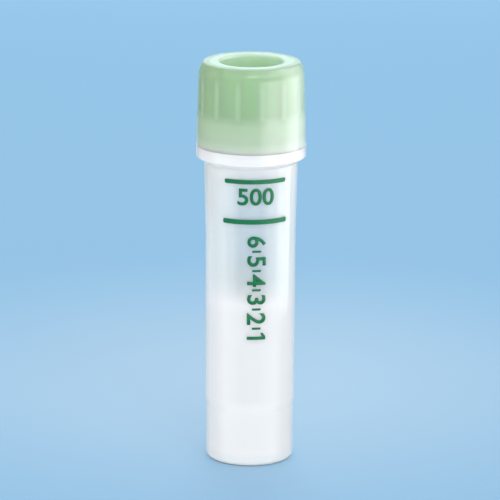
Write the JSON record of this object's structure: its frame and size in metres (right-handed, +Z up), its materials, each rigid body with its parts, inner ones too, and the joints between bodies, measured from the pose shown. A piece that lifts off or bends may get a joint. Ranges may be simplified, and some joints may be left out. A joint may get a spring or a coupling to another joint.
{
  "type": "blood collection tube",
  "caption": "Small capillary blood collection tube with a raised chamber floor over a hollow foot skirt, closed by a ribbed push cap with a deep well whose cone bottom is the plug.",
  "frame": {"origin": "on the tube's axis, on the plane that the foot stands on", "axes": "+Z up along the tube's axis, from the foot to the cap; the printed side faces -Y"},
  "size_m": [0.0126, 0.0126, 0.047],
  "materials": {
    "natural_polypropylene": "milky, see-through natural polypropylene, satin",
    "green_polyethylene": "translucent pale green polyethylene, satin",
    "green_ink": "matt dark green printing ink"
  },
  "bodies": {
    "tube": {"tube": "natural_polypropylene"},
    "cap": {"cap": "green_polyethylene"}
  },
  "joints": [
    {"name": "cap_pull", "type": "slide", "parent": "tube", "child": "cap", "axis": [0, 0, 1], "range_m": [0, 0.015]}
  ]
}
